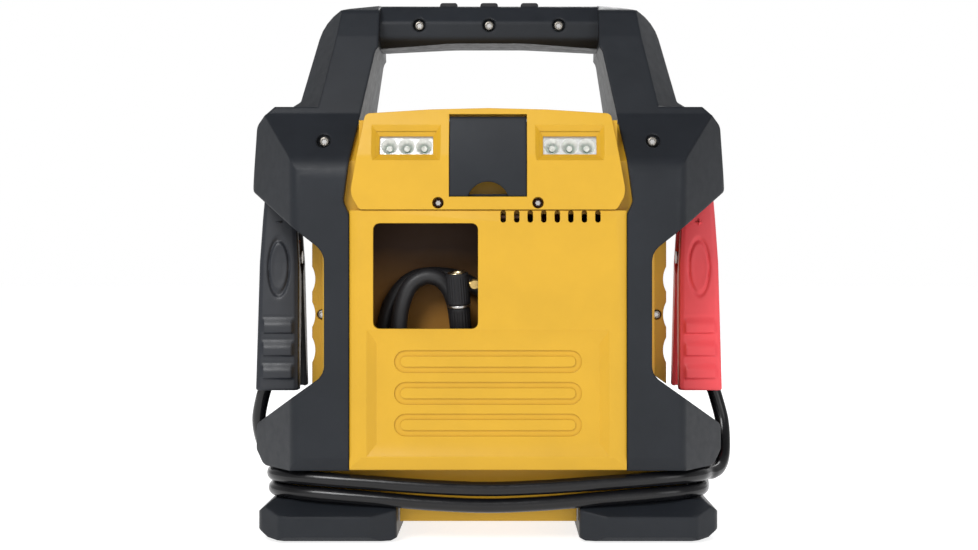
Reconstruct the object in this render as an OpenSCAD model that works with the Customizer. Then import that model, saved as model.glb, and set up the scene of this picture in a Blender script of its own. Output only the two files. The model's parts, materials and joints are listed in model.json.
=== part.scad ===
// Jump starter pack: a battery and air compressor in a carrying frame, with two
// leads wound round its base and two clamps stored in its shoulders.
// Millimetres. +Z is up, -Y is the rear side with the lamps and the hose window,
// and the origin is on the floor under the middle of the pack.

/* [Frame] */
// Half width of the frame at the shoulders
frame_half_w = 167.5; // [164:0.5:172]
// Height of the top of the handle
frame_top = 377.5; // [372:0.5:384]
// Half depth of the frame
frame_half_d = 98; // [96:0.5:102]
// Wall thickness of the frame
frame_wall = 3.2; // [2.4:0.1:4]
// Height of the underside of the body above the floor
body_bottom = 48; // [46:0.5:50]

/* [Case] */
// Half width of the yellow case
case_half_w = 116; // [114:0.5:118]
// Wall thickness of the case and covers
case_wall = 3; // [2.5:0.1:3.5]
// Half width of the rear and front panels
panel_half_w = 94; // [92:0.5:95]
// Height of the seam between pod and panel
seam_z = 225; // [224:0.5:226]
// Lean of the upper part of the pod in degrees
pod_lean = 14; // [8:1:18]

/* [Lamps and door] */
// Distance of each lamp window from the middle
lamp_x = 55.5; // [54:0.5:57]
// Distance between two lamps in a window
lamp_pitch = 11.8; // [11:0.1:12]
// Half width of the outlet door
door_half_w = 26; // [25:0.5:27]

/* [Leads and hose] */
// Diameter of each lead
lead_d = 10; // [8:0.5:10]
// Diameter of the air hose
hose_d = 11.5; // [10:0.5:11.5]

/* [Clamps] */
// Distance of each clamp from the middle
clamp_x = 152.5; // [151:0.5:153]
// Height of the clamp pivots
clamp_pivot_z = 194; // [190:1:196]

/* [Hidden] */

$fn = 48;
gap = 0.3;              // gap between neighbouring covers
far = 220;              // long enough to cut right through the pack
panel_face = 100;       // half depth at the faces of the rear and front panels
case_half_d = 90;       // half depth of the case walls behind the panels
case_top = 286.5;       // top of the case, under the pod and console skins
notch_x = 111;          // half width of the frame at the side notches
grip_half_w = 79;       // half length of the grip
grip_floor = 376;       // floor of the slot that holds the grip pad
shoulder_z = 258.6;     // height where the case's top corners start to lean back
crease_z = 262;         // height where the pod face starts to lean back
foot_top = 27;          // height of the top of the feet
door_pin_y = -91.5;
door_pin_z = 286.2;
door_pin_r = 1.25;
knob_x = -45;
knob_z = 180;
flap_x = 45;
button_z = 243;
gear_x = 64;            // crank gear axis
gear_y = -30;
gear_module = 1.5;
gear_teeth = 30;
pinion_teeth = 12;
gear_z = 131;           // underside of the gears
jaw_steel = 2;          // thickness of the jaw plates

yellow = [0.93, 0.71, 0.16];
black = [0.16, 0.17, 0.19];
rubber = [0.10, 0.10, 0.11];
steel = [0.72, 0.73, 0.75];
brass = [0.78, 0.62, 0.26];
copper = [0.72, 0.43, 0.28];
red = [0.90, 0.24, 0.28];
clear = [0.90, 0.93, 0.96];

// ---- outline helpers ----

function unit(v) = v / norm(v);
function cross2(a, b) = a[0] * b[1] - a[1] * b[0];
function turn_of(a) = a > 180 ? a - 360 : a < -180 ? a + 360 : a;

// Points of one corner at p, between neighbours a and b, rounded to radius r
function corner_arc(a, p, b, r, steps = 5) =
    r <= 0 ? [p] :
    let (u = unit(a - p),
         v = unit(b - p),
         half_angle = acos(u * v) / 2,
         centre = p + unit(u + v) * r / sin(half_angle),
         start = p + u * r / tan(half_angle) - centre,
         end = p + v * r / tan(half_angle) - centre,
         first = atan2(start[1], start[0]),
         sweep = turn_of(atan2(end[1], end[0]) - first))
    [for (k = [0:steps])
        centre + r * [cos(first + sweep * k / steps), sin(first + sweep * k / steps)]];

// Outline through corners given as [x, y, radius]
function rounded(corners) =
    let (n = len(corners), at = function (i) let (c = corners[(i + n) % n]) [c[0], c[1]])
    [for (i = [0:n - 1]) each corner_arc(at(i - 1), at(i), at(i + 1), corners[i][2])];

// The same corners moved inwards by d (outwards when d is negative), for corners listed clockwise
function inset(corners, d) =
    let (n = len(corners), at = function (i) let (c = corners[(i + n) % n]) [c[0], c[1]])
    [for (i = [0:n - 1])
        let (u = unit(at(i) - at(i - 1)),
             v = unit(at(i + 1) - at(i)),
             shift = [u[1] + v[1], -u[0] - v[0]] * d / (1 + u * v))
        [at(i)[0] + shift[0], at(i)[1] + shift[1], max(corners[i][2] - abs(d), 0)]];

// Right half of an outline, from the top down, completed by its mirror image
function mirrored(half) =
    concat(half, [for (i = [len(half) - 1:-1:0]) [-half[i][0], half[i][1], half[i][2]]]);

module along_x(x0, x1) translate([x0, 0, 0]) rotate([90, 0, 90]) linear_extrude(x1 - x0) children();
module along_y(y0, y1) translate([0, y1, 0]) rotate([90, 0, 0]) linear_extrude(y1 - y0) children();
module along_z(z0, z1) translate([0, 0, z0]) linear_extrude(z1 - z0) children();
module both_sides() { children(); mirror([1, 0, 0]) children(); }
module box(low, high) translate(low) cube(high - low);
module slab(w, h, r) polygon(rounded([[-w / 2, h / 2, r], [w / 2, h / 2, r], [w / 2, -h / 2, r], [-w / 2, -h / 2, r]]));
module rod_x(x0, x1, r) translate([x0, 0, 0]) rotate([0, 90, 0]) cylinder(h = x1 - x0, r = r);
module rod_y(y0, y1, r) translate([0, y0, 0]) rotate([-90, 0, 0]) cylinder(h = y1 - y0, r = r);

// ---- tubes swept along a route ----

function between(a, b, c, d, t) =
    0.5 * (2 * b + (c - a) * t + (2 * a - 5 * b + 4 * c - d) * t * t + (3 * b - a - 3 * c + d) * t * t * t);
function smooth(route, steps) =
    let (n = len(route), at = function (i) route[max(0, min(n - 1, i))])
    concat([for (i = [0:n - 2], k = [0:steps - 1]) between(at(i - 1), at(i), at(i + 1), at(i + 2), k / steps)],
        [route[n - 1]]);
function tangent(path, i) = unit(path[min(i + 1, len(path) - 1)] - path[max(i - 1, 0)]);
// Each ring's sideways direction is the last one's, made square to the path again
function sideways(path, i, side) = let (t = tangent(path, i)) unit(side - t * (side * t));
function sides_of(path, first) =
    [for (i = 0, s = sideways(path, 0, first); i < len(path); i = i + 1,
        s = i < len(path) ? sideways(path, i, s) : s) s];

module tube(route, steps, d, first_side, sides = 8) {
    path = smooth(route, steps);
    across = sides_of(path, first_side);
    rings = len(path);
    points = [for (i = [0:rings - 1], k = [0:sides - 1])
        let (t = tangent(path, i), up = cross(t, across[i]), a = 360 * k / sides)
        path[i] + d / 2 * (cos(a) * across[i] + sin(a) * up)];
    faces = concat(
        [[for (k = [sides - 1:-1:0]) k]],
        [for (i = [0:rings - 2], k = [0:sides - 1])
            let (a = i * sides + k, b = i * sides + (k + 1) % sides)
            [a, b, b + sides]],
        [for (i = [0:rings - 2], k = [0:sides - 1])
            let (a = i * sides + k, b = i * sides + (k + 1) % sides)
            [a, b + sides, a + sides]],
        [[for (k = [0:sides - 1]) (rings - 1) * sides + k]]);
    polyhedron(points, [for (f = faces) [for (j = [len(f) - 1:-1:0]) f[j]]]);
}

// ---- frame ----

frame_corners = mirrored([
    [grip_half_w, frame_top, 0], [119.5, 371, 28], [135.3, 305.5, 2], [149, 300, 16],
    [frame_half_w - 4, 286, 8], [frame_half_w, 240.5, 5], [notch_x, 196.5, 14], [notch_x, 113.3, 12],
    [164, 75.8, 6], [164, 58, 5], [157.5, body_bottom, 6]]);
hole_corners = mirrored([
    [26, 349.4, 200], [80, 346, 9], [89.5, 295, 0], [98.2, 231, 8], [panel_half_w + gap, 222, 3], [panel_half_w + gap, 30, 0]]);
plan_corners = mirrored([
    [131.6, frame_half_d, 12], [frame_half_w, 45, 10], [frame_half_w, -45, 10], [131.6, -frame_half_d, 12]]);
side_corners = mirrored([
    [14, frame_top, 8], [26, 372, 8], [36, 352, 10], [60, 294, 2], [frame_half_d, 256, 26],
    [frame_half_d, 57.5, 3], [frame_half_d - 4.5, body_bottom, 0]]);
grip_corners = mirrored([
    [14, frame_top, 7], [23, 364, 5], [22, 352, 6], [13, 346, 5]]);

// Solid inside the frame's outer surface, its faces moved inwards by t
module frame_block(t) difference() {
    intersection() {
        along_y(-far, far) difference() {
            polygon(rounded(inset(frame_corners, t)));
            polygon(rounded(inset(hole_corners, -t)));
        }
        along_z(0, 400) polygon(rounded(inset(plan_corners, t)));
        union() {
            for (s = [0, 1]) mirror([s, 0, 0])
                along_x(grip_half_w + t, far) polygon(rounded(inset(side_corners, t)));
            along_x(-grip_half_w - 9, grip_half_w + 9) polygon(rounded(inset(grip_corners, t)));
        }
    }
    // outer corners of the handle legs, cut above the shoulders
    both_sides() for (s = [0, 1]) mirror([0, s, 0]) intersection() {
        translate([120.3, -60, 294]) rotate([0, -21.6, -34.1]) translate([-t, -100, -60]) cube([80, 200, 200]);
        box([60, -100, 299 - t], [180, 0, 400]);
    }
}

case_corners = mirrored([
    [case_half_w - 12, case_half_d, 2], [case_half_w, 64, 6], [case_half_w, -64, 6],
    [case_half_w - 12, -case_half_d, 2]]);
// Solid inside the case's outer surface; its top corners beside the pod lean back with the frame
module case_block(t, bottom, top) difference() {
    along_z(bottom, top) polygon(rounded(inset(case_corners, t)));
    both_sides() for (s = [0, 1]) mirror([0, s, 0]) translate([0, -case_half_d + t * sqrt(2), shoulder_z])
        along_x(panel_half_w - 6 - t, far) polygon([[-50, -50], [60, 60], [-50, 60]]);
}

handle_screw_xs = [-50.5, 0, 50.5];
handle_screw_z = 362;
shoulder_screw = [113.2, -74, 273];
clamp_opening = [[134, -37, 180], [164.2, 37, 252]];
post_low = [145, 0, 262];

// Hollow half of the frame with bosses for the handle screws and posts that hold the stored clamps
module frame_outer_half() {
    intersection() {
        difference() {
            frame_block(0);
            frame_block(frame_wall);
        }
        box([-far, -far, 0], [far, 0, 400]);
    }
    intersection() {
        frame_block(0);
        union() {
            for (x = handle_screw_xs) translate([x, 0, handle_screw_z]) rod_y(-30, 0, 7);
            both_sides() box([post_low[0], -2, post_low[2]], [160, 0, 300]);
        }
    }
}
module at_shoulder_screw() both_sides() translate([shoulder_screw[0], 0, shoulder_screw[2]]) children();
module frame_half(rear) {
    difference() {
        union() {
            difference() {
                frame_outer_half();
                case_block(-gap, 0, case_top + gap);
                box([-grip_half_w - 10, -far, 0], [grip_half_w + 10, 0, 296]);
                both_sides() box(clamp_opening[0], clamp_opening[1]);
            }
            intersection() {
                frame_block(0);
                at_shoulder_screw() rod_y(-98, -70, 7.5);
            }
        }
        box([-52, -12, grip_floor], [52, 1, 400]);
        for (x = handle_screw_xs) translate([x, 0, handle_screw_z]) {
            if (rear) rod_y(-40, -17.5, 4.8);
            rod_y(-17.5, 1, rear ? 2.2 : 1.9);
        }
        at_shoulder_screw() {
            rod_y(-110, shoulder_screw[1], 5);
            rod_y(shoulder_screw[1], -60, 2.2);
        }
    }
}
module rear_frame_shell() color(black) frame_half(true);
module front_frame_shell() color(black) mirror([0, 1, 0]) frame_half(false);

module grip_pad() color(rubber) difference() {
    union() {
        box([-51.8, -11.8, grip_floor], [51.8, 11.8, frame_top - 0.5]);
        for (x = [-29.5, 0, 29.5]) translate([x, 0, 0]) along_y(-11.8, 11.8)
            polygon(rounded([[-6.4, frame_top + 2.5, 2], [6.4, frame_top + 2.5, 2], [6.4, grip_floor + 0.5, 0],
                [-6.4, grip_floor + 0.5, 0]]));
    }
    for (x = [-14.7, 14.7, -43.5, 43.5])
        box([x - (abs(x) > 20 ? 7.4 : 8.3), -20, grip_floor + 0.8], [x + (abs(x) > 20 ? 7.4 : 8.3), 20, 400]);
}

// ---- case ----

flange_x = 130;
side_screw = [122.8, 0, 152];
// Side flange with three shallow finger scallops
module flange_outline() difference() {
    polygon([[case_half_w - 2, 112.5], [case_half_w, 111], [flange_x, 101.2], [flange_x, 210.4],
        [case_half_w, 199.6], [case_half_w - 2, 198]]);
    for (k = [-1:1]) translate([flange_x + 17.2, side_screw[2] + 26 * k]) circle(r = 19.5);
}
module case_half(rear) difference() {
    union() {
        difference() {
            case_block(0, body_bottom, case_top);
            case_block(case_wall, body_bottom + case_wall, case_top - case_wall);
        }
        both_sides() along_y(-7, 0) flange_outline();
        intersection() {
            case_block(0, 100, case_top);
            at_shoulder_screw() rod_y(-90, -58, 10.5);
        }
    }
    box([-far, 0, 0], [far, far, 400]);
    // openings behind the lower panel and behind the pod or console
    box([-86, -far, 56], [86, -80, 222.4]);
    box([-82, -far, 238], [82, -80, case_top - case_wall]);
    box([-30, -far, 230.9], [30, -79.8, 400]);
    both_sides() translate([side_screw[0], 0, side_screw[2]]) {
        if (rear) rod_y(-20, -4, 3.8);
        rod_y(-20, 1, rear ? 2.1 : 1.7);
    }
    at_shoulder_screw() {
        rod_y(-100, -69.7, 7.8);
        rod_y(-70, -61, 1.9);
    }
    for (x = rear ? [-33.8, 33.8] : [-60, 60]) translate([x, 0, rear ? 229.8 : 232]) rod_y(-100, -60, 1.8);
}
module rear_case_shell() color(yellow) case_half(true);
module front_case_shell() color(yellow) mirror([0, 1, 0]) case_half(false);

// ---- rear and front covers ----

module lean() translate([0, -panel_face, crease_z]) rotate([-pod_lean, 0, 0]) children();

pod_corners = mirrored([[40, 293.6, 30], [83.5, 290.8, 4], [93.3, 236, 14], [87, seam_z + 0.2, 3]]);
module pod_outline(t) polygon(rounded(inset(concat([[0, 294.6, 0]], pod_corners), t)));
function pod_profile(t) = inset([
    [-panel_face, crease_z, 12], [-92, 262 + 8 / tan(pod_lean), 0], [-90, 300, 0], [0, 300, 0], [0, 200, 0],
    [-panel_face, 200, 0]], t);
// Solid behind the pod's outer surface, its faces moved inwards by t
module pod_block(t) intersection() {
    along_y(-far, 0) pod_outline(t);
    along_x(-far, far) polygon(rounded(pod_profile(t)));
    // chamfers down both sides
    both_sides() along_z(0, 400)
        polygon([[-far, 0], [far, 0], [far, -85], [94 - t, -94], [87 - t, -panel_face + t], [-far, -panel_face + t]]);
}
module pod_shell() difference() {
    pod_block(0);
    pod_block(case_wall);
    // only a front cover and a top skin
    box([-far, -case_half_d - 0.2, 200], [far, 1, case_top]);
    both_sides() box([88.6, -case_half_d, 200], [far, 1, 400]);
    box([-far, -gap / 2, 200], [far, 1, 400]);
}

door_low = 234.2;
door_top = 290.3;
module lamp_window_cut() {
    // sloping surround, then the straight window
    for (s = [0, 1]) mirror([s, 0, 0]) lean() translate([lamp_x, 0, 8.5]) {
        hull() {
            along_y(-1, 0.01) square([47, 26], center = true);
            along_y(4.8, 5) square([36.2, 12.8], center = true);
        }
        along_y(-1, 20) square([36.2, 12.8], center = true);
    }
}
module lamp_pod_cover() color(yellow) difference() {
    union() {
        pod_shell();
        // walls of the outlet recess, with the lugs for the door pin
        intersection() {
            pod_block(0);
            box([-door_half_w - 3.4, -far, door_low - 3], [door_half_w + 3.4, -80, 296]);
        }
        // pillars for the two screws
        for (x = [-33.8, 33.8]) intersection() {
            pod_block(0);
            translate([x, 0, 229.8]) rod_y(-99, -case_half_d, 6);
        }
        // ribs round the lamp windows that hold the lenses
        both_sides() intersection() {
            pod_block(0);
            lean() translate([lamp_x, 0, 8.5]) along_y(0, 8) square([41, 18], center = true);
        }
    }
    box([-door_half_w - 0.4, -far, door_low - 0.3], [door_half_w + 0.4, -79.9, 282.5]);
    box([-door_half_w - 0.4, -far, 282], [door_half_w + 0.4, -86, door_top]);
    translate([0, door_pin_y, door_pin_z]) rod_x(-29.5, 29.5, door_pin_r);
    for (x = [-33.8, 33.8]) translate([x, 0, 229.8]) {
        rod_y(-101, -93, 3.9);
        rod_y(-94, -80, 2);
    }
    lamp_window_cut();
    // seat for each lens
    both_sides() lean() translate([lamp_x, 0, 8.5]) along_y(5.5, 9) square([38.4, 15.4], center = true);
}

window_cut = [[-77.6, 144.6], [-6.7, 216]];
recess_corners = [[-82, 144], [82, 144], [82, 58.3], [-82, 58.3]];
groove_zs = [79.3, 100.8, 122.3];

module stadium(half_len, r) polygon(rounded([
    [-half_len, r, r - 0.01], [half_len, r, r - 0.01], [half_len, -r, r - 0.01], [-half_len, -r, r - 0.01]]));

// Outer form of a lower panel: chamfered all round its face
module panel_block(t) intersection() {
    along_y(-far, -case_half_d - 0.2)
        polygon([[-panel_half_w + t, body_bottom + 1 + t], [-panel_half_w + t, seam_z - 0.3 - t],
            [panel_half_w - t, seam_z - 0.3 - t], [panel_half_w - t, body_bottom + 1 + t]]);
    along_z(0, 300) polygon([[-panel_half_w + t, -90], [panel_half_w - t, -90], [panel_half_w - t, -96.5],
        [85.5 - t, -panel_face + t], [-85.5 + t, -panel_face + t], [-panel_half_w + t, -96.5]]);
    along_x(-far, far) polygon([[-90, 240], [-98.6 + t, 240], [-98.6 + t, seam_z], [-panel_face + t, 217],
        [-panel_face + t, 57.5 + t], [-95.5 + t, body_bottom + t], [-90, body_bottom + t]]);
}
// Shallow recess with sloping sides, d deep
module recess_cut(d, grow) hull() {
    along_y(-panel_face - 1, -panel_face + 0.01)
        translate([0, 101.15]) square([164 + 2 * grow, 85.7 + 2 * grow], center = true);
    along_y(-panel_face + d - 0.1, -panel_face + d)
        translate([0, 100.7]) square([151 + 2 * grow, 67.5 + 2 * grow], center = true);
}
module lower_panel() difference() {
    union() {
        difference() {
            panel_block(0);
            difference() {
                panel_block(case_wall);
                box([-90, -far, 56], [90, -92, 147]);
            }
        }
    }
    recess_cut(4, 0);
    for (z = groove_zs) translate([0, 0, z]) along_y(-96.5, -94.8) difference() {
        stadium(63.6, 7.6);
        stadium(59.5, 3.6);
    }
    box([-89, -92.5, 57], [89, -80, 146]);
}
module hose_panel() color(yellow) difference() {
    lower_panel();
    translate([(window_cut[0][0] + window_cut[1][0]) / 2, 0, (window_cut[0][1] + window_cut[1][1]) / 2])
        along_y(-far, -80) slab(window_cut[1][0] - window_cut[0][0], window_cut[1][1] - window_cut[0][1], 4.3);
    for (k = [0:7]) translate([10.3 + 9.14 * k, 0, 220.6]) along_y(-far, -80) slab(3.7, 8.4, 1.8);
}

tray_low = [-85.8, -95.8, 86];
tray_high = [24, -42, 221.4];
outlet_y = -53;
outlet_z = 165;
module hose_tray() color(yellow) difference() {
    box(tray_low, tray_high);
    box(tray_low + [2, -9, 2], tray_high - [2, 2, 2]);
    // clear of the back of the panel's recess
    box([-95, -far, 40], [95, -91.8, 147.4]);
    translate([0, outlet_y, outlet_z]) rod_x(10, 40, 6.2);
}

module front_panel() color(yellow) mirror([0, 1, 0]) difference() {
    union() {
        lower_panel();
        // cup round the power knob
        translate([knob_x, 0, knob_z]) rod_y(-98, -84, 29.5);
        // frame round the charge flap
        translate([flap_x, 0, knob_z]) along_y(-98, -86) slab(51, 43, 5);
    }
    translate([knob_x, 0, knob_z]) {
        rod_y(-110, -86.5, 27);
        rod_y(-110, -80, 4.3);
    }
    translate([flap_x, 0, knob_z]) {
        along_y(-110, -96.6) slab(43.6, 37.4, 2);
        along_y(-110, -80) slab(37, 30, 3);
        translate([0, flap_pin_y, flap_pin_z - knob_z]) rod_x(-24.4, 24.4, 1.25);
        translate([0, 0, flap_pin_z - knob_z]) along_y(-110, -95.2) square([43.6, 5.2], center = true);
    }
}
flap_pin_y = -97.6;
flap_pin_z = 196.2;
module charge_flap() color(rubber) mirror([0, 1, 0]) translate([flap_x, 0, 0]) difference() {
    union() {
        along_y(-99.8, -97.2) translate([0, 179.3]) slab(43, 33.8, 2);
        translate([0, flap_pin_y, flap_pin_z]) rod_x(-21.5, 21.5, 2.1);
        translate([0, flap_pin_y, flap_pin_z]) rod_x(-24, 24, 1.2);
        along_y(-97.3, -94) difference() {
            translate([0, 179.5]) slab(35, 28, 3);
            translate([0, 179.5]) slab(32, 25, 2);
        }
    }
    // thumb notch at the bottom edge
    translate([0, 0, 157]) rod_y(-110, -98.4, 8);
}
module charge_inlet() color(black) mirror([0, 1, 0]) translate([flap_x, 0, knob_z]) difference() {
    union() {
        along_y(-93.5, -76) slab(36.6, 29.6, 3);
        along_y(-85.8, -84) slab(46, 38, 3);
    }
    along_y(-94, -79) slab(30, 22, 3);
}

module front_console() color(black) mirror([0, 1, 0]) difference() {
    union() {
        pod_shell();
        both_sides() intersection() {
            pod_block(0);
            translate([60, 0, 232]) rod_y(-99, -case_half_d, 5);
        }
    }
    lean() translate([0, 0, 10]) {
        along_y(-1, 2) slab(92.6, 24.6, 2);
        along_y(-1, 12) slab(84, 18, 1);
    }
    for (x = button_xs) translate([x, 0, button_z]) {
        rod_y(-102, -98, 10);
        rod_y(-102, -90, 6.8);
    }
    both_sides() translate([60, 0, 232]) {
        rod_y(-101, -93, 3.9);
        rod_y(-94, -80, 2);
    }
}
button_xs = [-28, 0, 28];
module display_window() color(clear) mirror([0, 1, 0]) lean() translate([0, 0, 10])
    along_y(0.2, 1.9) slab(92, 24, 1.8);
module button(x) color(rubber) mirror([0, 1, 0]) translate([x, 0, button_z]) union() {
    rod_y(-99.8, -95, 6.5);
    rod_y(-96.6, -94.6, 8.2);
    rod_y(-94.8, -82.5, 2);
}
module light_button() button(button_xs[0]);
module air_button() button(button_xs[1]);
module check_button() button(button_xs[2]);

module power_knob() color(red) translate([knob_x, 0, knob_z]) difference() {
    union() {
        rod_y(87, 91, 23);
        along_y(90.9, 99.6) slab(13, 42, 5);
    }
    rod_y(80, 93, 4.05);
}
module switch_body() color(black) translate([knob_x, 0, knob_z]) union() {
    rod_y(74.6, 83.8, 20);
    rod_y(83.7, 92.8, 4);
}

// ---- lamps and outlets ----

module at_lamps() both_sides() lean() translate([lamp_x, 0, 8.5]) children();
module lamp_lenses() color(clear) at_lamps() along_y(5.7, 7.8) square([38, 15], center = true);
module lamp_reflectors() color(steel) at_lamps() difference() {
    along_y(8, 16.8) square([38, 15], center = true);
    for (k = [-1:1]) translate([lamp_pitch * k, 7.9, 0]) rotate([-90, 0, 0]) {
        cylinder(h = 8, r1 = 5.7, r2 = 3);
        cylinder(h = 10, r = 2.6);
    }
}
module lamp_board() color("seagreen") at_lamps() {
    along_y(17, 18.6) square([42, 17], center = true);
    for (k = [-1:1]) translate([lamp_pitch * k, 17.1, 0]) rotate([90, 0, 0]) {
        cylinder(h = 3.2, r = 2.2);
        translate([0, 0, 3.2]) sphere(r = 2.2);
    }
}

module door_profile() {
    polygon([[-panel_face, 234.3], [-97.5, 234.3], [-97.5, crease_z + 0.3],
        [door_pin_y - 0.3, door_pin_z - 2.55], [door_pin_y - 2.35, door_pin_z + 1], [-panel_face, crease_z]]);
    polygon([[-98, 234.3], [-93.5, 234.3], [-93.5, 235.8], [-98, 235.8]]);
    translate([door_pin_y, door_pin_z]) circle(r = 2.6);
}
module socket_door() color(black) difference() {
    along_x(-door_half_w, door_half_w) door_profile();
    translate([0, door_pin_y, door_pin_z]) rod_x(-far, far, door_pin_r + 0.05);
    // thumb notch
    translate([0, 0, 229.8]) rod_y(-101, -96.5, 14.3);
}
module door_hinge_pin() color(steel) translate([0, door_pin_y, door_pin_z]) rod_x(-29.4, 29.4, door_pin_r);

socket_x = -9;
socket_z = 260;
usb_x = 16;
module socket_panel() color(yellow) difference() {
    along_y(-79.9, -77.2) translate([0, 257.4]) square([58.6, 52], center = true);
    translate([socket_x, 0, socket_z]) rod_y(-90, -70, 13.9);
    along_y(-90, -70) translate([usb_x, socket_z]) slab(14.2, 26.2, 1);
}
module power_socket() color(steel) translate([socket_x, 0, socket_z]) difference() {
    union() {
        rod_y(-79.9, -42, 13.7);
        rod_y(-81.6, -79.9, 15.2);
    }
    rod_y(-90, -44, 10.6);
}
module usb_port() color(black) translate([usb_x, 0, socket_z]) difference() {
    union() {
        along_y(-79.9, -64) slab(14, 26, 1);
        along_y(-81, -79.9) slab(16.4, 29, 2);
    }
    for (z = [-6.5, 6.5]) translate([0, 0, z]) along_y(-82, -68) slab(7, 5.6, 0.6);
}

// ---- base ----

foot_plan = [[62, -93, 4], [62, 93, 4], [80, panel_face, 10], [140, panel_face, 10], [157.5, 84, 10],
    [157.5, -84, 10], [140, -panel_face, 10], [80, -panel_face, 10]];
foot_screw_x = 108;
foot_screw_ys = [-40, 40];
module base_pedestal() color(yellow) difference() {
    union() {
        difference() {
            along_z(11, body_bottom) slab(280, 150, 20);
            along_z(10, body_bottom - 3) slab(272, 142, 16);
        }
        both_sides() for (y = foot_screw_ys) translate([foot_screw_x, y, foot_top]) cylinder(h = 19, r = 6);
    }
    both_sides() {
        box([61, -80, 10], [150, 80, foot_top + 0.2]);
        for (y = foot_screw_ys) translate([foot_screw_x, y, 20]) cylinder(h = 20, r = 2.1);
    }
}
module foot() color(black) difference() {
    intersection() {
        along_z(0.8, foot_top) polygon(rounded([for (k = [7:-1:0]) foot_plan[k]]));
        along_x(0, far) polygon([[-97, 0.8], [-panel_face, 4], [-panel_face, 17.4], [-82, foot_top],
            [82, foot_top], [panel_face, 17.4], [panel_face, 4], [97, 0.8]]);
        along_y(-far, far) polygon([[61, 3], [61, 20], [67, foot_top], [148, foot_top], [157.5, 19],
            [157.5, 7.5], [150, 2.6], [138, 0.8], [66, 0.8]]);
    }
    // pockets for the rubber pads, and bores for the foot screws
    for (x = pad_xs, y = pad_ys) translate([x, y, 0]) cylinder(h = 3, r = 11.2);
    for (y = foot_screw_ys) translate([foot_screw_x, y, 0]) {
        cylinder(h = 16, r = 5);
        cylinder(h = 50, r = 2.2);
    }
}
pad_xs = [84, 132];
pad_ys = [-80, 80];
module right_foot() foot();
module left_foot() mirror([1, 0, 0]) foot();
module foot_pads() color(rubber) both_sides() for (x = pad_xs, y = pad_ys) translate([x, y, 0])
    cylinder(h = 3, r = 11);

// ---- battery, board and compressor ----

battery_low = [-90.5, -3, 51];
battery_high = [90.5, 73, 218.3];
module battery() color(black) {
    box(battery_low, battery_high);
    both_sides() box([66, 10, 218.2], [80, 22, 229]);
}
module battery_strap() color(steel) difference() {
    box([-14, battery_low[1] - 1.6, 120], [14, battery_high[1] + 1.4, battery_high[2] + 1.6]);
    box([-15, battery_low[1] - 0.1, 110], [15, battery_high[1] + 0.1, battery_high[2] + 0.1]);
}
module main_fuse() color("orange") box([34, 30, battery_high[2] + 0.2], [60, 44, 231]);
module main_board() color("seagreen") {
    box([-75, 78, 240], [75, 79.6, 280]);
    box([-60, 72, 250], [-38, 78.1, 272]);
    box([20, 70, 248], [50, 78.1, 262]);
}

pinion_x = gear_x + gear_module * (gear_teeth + pinion_teeth) / 2;
// Spur gear outline with plain tapered teeth, one tooth on +X when phase is 0
module gear_outline(teeth, phase) {
    pitch_r = gear_module * teeth / 2;
    step = 360 / teeth;
    circle(r = pitch_r - 1.2 * gear_module);
    for (k = [0:teeth - 1]) rotate(k * step + phase) polygon([
        [pitch_r - 1.6 * gear_module, -0.46 * gear_module], [pitch_r - 1.6 * gear_module, 0.46 * gear_module],
        [pitch_r, 0.62 * gear_module], [pitch_r + 0.75 * gear_module, 0.3 * gear_module],
        [pitch_r + 0.75 * gear_module, -0.3 * gear_module], [pitch_r, -0.62 * gear_module]]);
}
module crank_gear() color(brass) translate([gear_x, gear_y, 0]) {
    along_z(gear_z, gear_z + 6) gear_outline(gear_teeth, 0);
    along_z(120, gear_z) circle(r = 3);
    translate([0, -8, 0]) along_z(gear_z + 5, gear_z + 16) circle(r = 2.5);
}
module motor_pinion() color(steel) translate([pinion_x, gear_y, 0]) {
    along_z(gear_z - 0.5, gear_z + 7) gear_outline(pinion_teeth, 180 / pinion_teeth);
    along_z(110, gear_z) circle(r = 2);
}
module compressor_motor() color(steel) translate([pinion_x, gear_y, 0]) difference() {
    union() {
        along_z(68, 125.8) circle(r = 16.4);
        along_z(125.7, 128.6) circle(r = 6);
    }
    along_z(109, 140) circle(r = 2.05);
}
module compressor_frame() color([0.6, 0.61, 0.63]) difference() {
    union() {
        along_z(126, 129.5) polygon(rounded([[34, -8, 4], [111.5, -8, 4], [111.5, -60, 6], [101, -82, 4],
            [34, -82, 4]]));
        for (at = [[38.5, -12.5], [108, -12], [96, -76], [38.5, -77.5]]) translate([at[0], at[1], body_bottom + case_wall])
            cylinder(h = 126 - body_bottom - case_wall + 1, r = 3.4);
        box([56, -82, 129], [72, -60, 136]);
        translate([gear_x, 0, 147]) rod_y(-84, -58, 14);
        box([38, -64, 150], [54, -47, 172]);
    }
    translate([gear_x, 0, 147]) rod_y(-80, -57, 11);
    translate([gear_x, gear_y, 0]) along_z(100, 140) circle(r = 3.05);
    translate([pinion_x, gear_y, 0]) along_z(100, 140) circle(r = 6.1);
    // bore for the outlet fitting
    translate([0, outlet_y, outlet_z]) rod_x(37, 48, 4);
}
module compressor_piston() color(steel) translate([gear_x, 0, 147]) {
    rod_y(-76, -66, 10.9);
    box([-3, -66.1, -3], [3, -46, 3]);
}
module hose_outlet() color(brass) translate([0, outlet_y, outlet_z]) {
    rod_x(20, 48, 4);
    rod_x(24.2, 37.8, 7.5);
    rod_x(18, 24.3, 5.9);
}

// ---- air hose and chuck ----

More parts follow.
